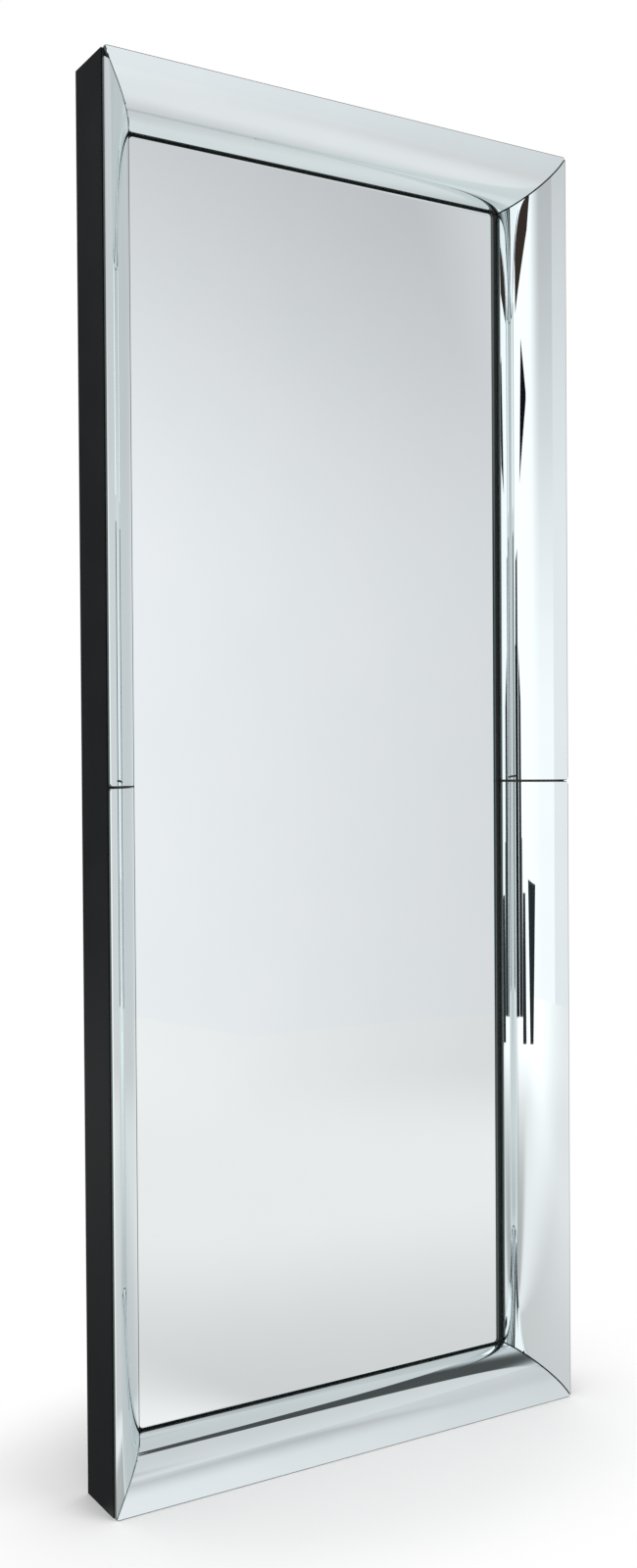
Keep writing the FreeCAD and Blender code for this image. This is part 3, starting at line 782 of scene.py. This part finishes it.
def painted_studio_floor():
    """Pale painted floor. It holds the shadow near the object and fades to the white of the background."""
    material, tree = new_material("painted_studio_floor")
    place = add(tree, "ShaderNodeTexCoord")
    path = add(tree, "ShaderNodeLightPath")
    spread = add(tree, "ShaderNodeVectorMath", TIMES, _0=place.outputs["Object"], _1=SHADOW_OVAL)
    reach = add(tree, "ShaderNodeVectorMath", LENGTH, _0=spread.outputs[0])
    fade = add(tree, "ShaderNodeMapRange", SMOOTH, Value=reach.outputs["Value"], From_Min=SHADOW_ROOM,
               From_Max=SHADOW_FADE)
    level = floor_in_reflections(tree, place.outputs["Object"])
    level = add(tree, "ShaderNodeMath", LARGER, _0=path.outputs["Is Camera Ray"], _1=level.outputs[0])
    paint = add(tree, "ShaderNodeBsdfDiffuse", Color=linear("#fcfcfc"))
    white = add(tree, "ShaderNodeEmission", Color=linear("#ffffff"), Strength=level.outputs[0])
    shown = add(tree, "ShaderNodeMath", TIMES, _0=path.outputs["Is Camera Ray"], _1=fade.outputs[0])
    share = add(tree, "ShaderNodeMath", LARGER, _0=shown.outputs[0], _1=path.outputs["Is Glossy Ray"])
    shader = add(tree, "ShaderNodeMixShader", _0=share.outputs[0], _1=paint.outputs[0], _2=white.outputs[0])
    add(tree, "ShaderNodeOutputMaterial", Surface=shader.outputs[0])
    return material


def lit_studio_wall():
    """White paper wall lit from below. It falls off upwards and to the right, and brightens again at its top.

    Past the corner of the room it falls off upwards only, and the far left is whiter still.
    """
    material, tree = new_material("lit_studio_wall")
    place = add(tree, "ShaderNodeTexCoord")
    axes, azimuth = bearings(tree, place.outputs["Object"])
    rightward = add(tree, "ShaderNodeMapRange", SMOOTH, Value=azimuth, **FALL_TO_RIGHT,
                    To_Min=1.0, To_Max=0.79)
    upward = add(tree, "ShaderNodeMapRange", SMOOTH, Value=axes.outputs[2], From_Min=1.7, From_Max=4.2,
                 To_Min=0.98, To_Max=0.66)
    start = add(tree, "ShaderNodeMapRange", SMOOTH, Value=azimuth, **COVE_TO_RIGHT, To_Min=3.5, To_Max=2.2)
    gain = add(tree, "ShaderNodeMapRange", SMOOTH, Value=azimuth, **COVE_TO_RIGHT, To_Min=0.16, To_Max=0.3)
    cove = add(tree, "ShaderNodeMapRange", SMOOTH, Value=axes.outputs[2], From_Min=start.outputs[0],
               From_Max=4.3, To_Max=gain.outputs[0])
    rise = add(tree, "ShaderNodeMath", {"operation": "ADD"}, _0=upward.outputs[0], _1=cove.outputs[0])
    front = add(tree, "ShaderNodeMath", TIMES, _0=rightward.outputs[0], _1=rise.outputs[0])
    side = add(tree, "ShaderNodeMapRange", SMOOTH, Value=axes.outputs[2], From_Min=1.0, From_Max=3.6,
               To_Min=1.17, To_Max=0.6)
    whiter = add(tree, "ShaderNodeMapRange", SMOOTH, Value=azimuth, **WHITE_LEFT, To_Min=1.0, To_Max=0.0)
    left = add(tree, "ShaderNodeMix", Factor=whiter.outputs[0], _2=side.outputs[0], _3=WHITE_LEFT_LEVEL)
    turned = add(tree, "ShaderNodeMath", {"operation": "LESS_THAN"}, _0=azimuth, _1=math.radians(ROOM_CORNER))
    level = add(tree, "ShaderNodeMix", Factor=turned.outputs[0], _2=front.outputs[0], _3=left.outputs[0])
    shader = add(tree, "ShaderNodeEmission", Color=linear("#fcfdff"), Strength=level.outputs[0])
    add(tree, "ShaderNodeOutputMaterial", Surface=shader.outputs[0])
    return material


def matt_card(name, colour, light=1.0):
    """Painted card, seen only in reflections, evenly lit."""
    material, tree = new_material(name)
    shader = add(tree, "ShaderNodeEmission", Color=linear(colour), Strength=light)
    add(tree, "ShaderNodeOutputMaterial", Surface=shader.outputs[0])
    return material


def make_stage_mesh(name, points, faces, material, only_reflected):
    mesh = bpy.data.meshes.new(name)
    mesh.from_pydata(points, [], faces)
    mesh.materials.append(material)
    stage = bpy.data.objects.new(name, mesh)
    bpy.context.scene.collection.objects.link(stage)
    if only_reflected:
        stage.visible_camera = False
        stage.visible_diffuse = False
        stage.visible_shadow = False


def make_floor():
    half = FLOOR_REACH
    points = [(-half, -half, BOTTOM), (half, -half, BOTTOM), (half, half, BOTTOM), (-half, half, BOTTOM)]
    make_stage_mesh("studio_floor", points, [(0, 1, 2, 3)], painted_studio_floor(), False)


def make_wall():
    """A curved wall in front of the object, which only its reflections show."""
    points, faces = [], []
    for step in range(WALL_STEPS + 1):
        azimuth = math.radians(WALL_END * (2 * step / WALL_STEPS - 1))
        x, y = WALL_DISTANCE * math.sin(azimuth), -WALL_DISTANCE * math.cos(azimuth)
        points += [(x, y, BOTTOM), (x, y, WALL_HEIGHT)]
    for step in range(WALL_STEPS):
        first = 2 * step
        faces.append((first, first + 2, first + 3, first + 1))
    make_stage_mesh("studio_wall", points, faces, lit_studio_wall(), True)


def make_cards():
    """Dark cards on the left, which the right strip reflects as upright streaks.

    The last two stand in front, where only the strips facing each other show them.
    Corners are azimuths seen from the right strip, in degrees, and heights in metres.
    """
    black = matt_card("black_card", "#121518")
    charcoal = matt_card("charcoal_card", "#2b3134")
    brown = matt_card("brown_card", "#3b322e")
    grey = matt_card("grey_card", "#8a9092")
    white = matt_card("white_card", "#ffffff", WHITE_CARD_LEVEL)
    cards = (
        (charcoal, (-58.5, 0.58), (-68.5, 0.6), (-66, -0.05), (-62, -0.05)),
        (charcoal, (-72.5, 0.55), (-75.8, 0.55), (-76.5, 0.0), (-71.5, 0.0)),
        (black, (-68.5, 2.36), (-75.5, 2.56), (-78, 2.03), (-68.5, 2.33)),
        (brown, (-58, 3.2), (-78, 3.3), (-83.5, 2.86), (-83, 2.64), (-66, 2.94)),
        (charcoal, (-78, 1.25), (-81.2, 1.45), (-81, 0.1), (-77, 0.1)),
        (grey, (-76.5, 0.75), (-78, 0.75), (-77, 0.1), (-75.8, 0.1)),
        (black, (-82, 1.8), (-84.5, 1.75), (-85, 1.45), (-88, 1.45), (-88.5, 0.1), (-81.5, 0.1)),
        (black, (-14, 1.95), (6, 1.95), (6, 0.1), (-14, 0.1)),
        (white, (-14, 3.4), (6, 3.4), (6, 2.05), (-14, 2.05)),
    )
    centre_x = RIGHT - SIDE_BORDER / 2
    for number, (finish, *corners) in enumerate(cards, start=1):
        points = []
        for azimuth, height in corners:
            turn = math.radians(azimuth)
            points.append((centre_x + CARD_DISTANCE * math.sin(turn), -CARD_DISTANCE * math.cos(turn),
                           BOTTOM + height))
        make_stage_mesh(f"card_{number}", points, [tuple(range(len(points)))], finish, True)


def make_lamp():
    """One large softbox, high on the right of the viewer, which reflections don't show."""
    data = bpy.data.lights.new("softbox", "AREA")
    data.shape = "RECTANGLE"
    data.size = LAMP_WIDTH
    data.size_y = LAMP_HEIGHT
    data.energy = LAMP_POWER
    lamp = bpy.data.objects.new("softbox", data)
    bpy.context.scene.collection.objects.link(lamp)
    lamp.location = LAMP_PLACE
    aim = Vector((0, 0, MIDDLE)) - lamp.location
    lamp.rotation_euler = aim.to_track_quat("-Z", "Y").to_euler()
    lamp.visible_glossy = False


# Camera at the photograph's viewing angle
IMAGE_HEIGHT = 1600
FOCAL_PIXELS = 1610.2
SENSOR = 36.0
AZIMUTH = math.radians(-31.12)
ELEVATION = math.radians(0.841)
ROLL = math.radians(-0.38)
CAMERA_PLACE = (-1261.9 * MM, -2021.9 * MM, 1034.5 * MM)


def make_camera():
    data = bpy.data.cameras.new("camera")
    data.sensor_width = SENSOR
    data.lens = FOCAL_PIXELS * SENSOR / IMAGE_HEIGHT
    camera = bpy.data.objects.new("camera", data)
    bpy.context.scene.collection.objects.link(camera)
    camera.location = CAMERA_PLACE
    back = Vector((math.sin(AZIMUTH) * math.cos(ELEVATION), -math.cos(AZIMUTH) * math.cos(ELEVATION),
                   math.sin(ELEVATION)))
    camera.rotation_mode = "QUATERNION"
    camera.rotation_quaternion = (-back).to_track_quat("-Z", "Y") @ Quaternion((0, 0, 1), ROLL)
    bpy.context.scene.camera = camera


dress_nodes()
make_strips()
make_pane()
for screw_node in ("back_panel_screws", "left_hanger_screws", "right_hanger_screws"):
    make_screws(screw_node)
studio_background()
make_floor()
make_wall()
make_cards()
make_lamp()
make_camera()
bpy.context.scene.view_settings.view_transform = "Standard"
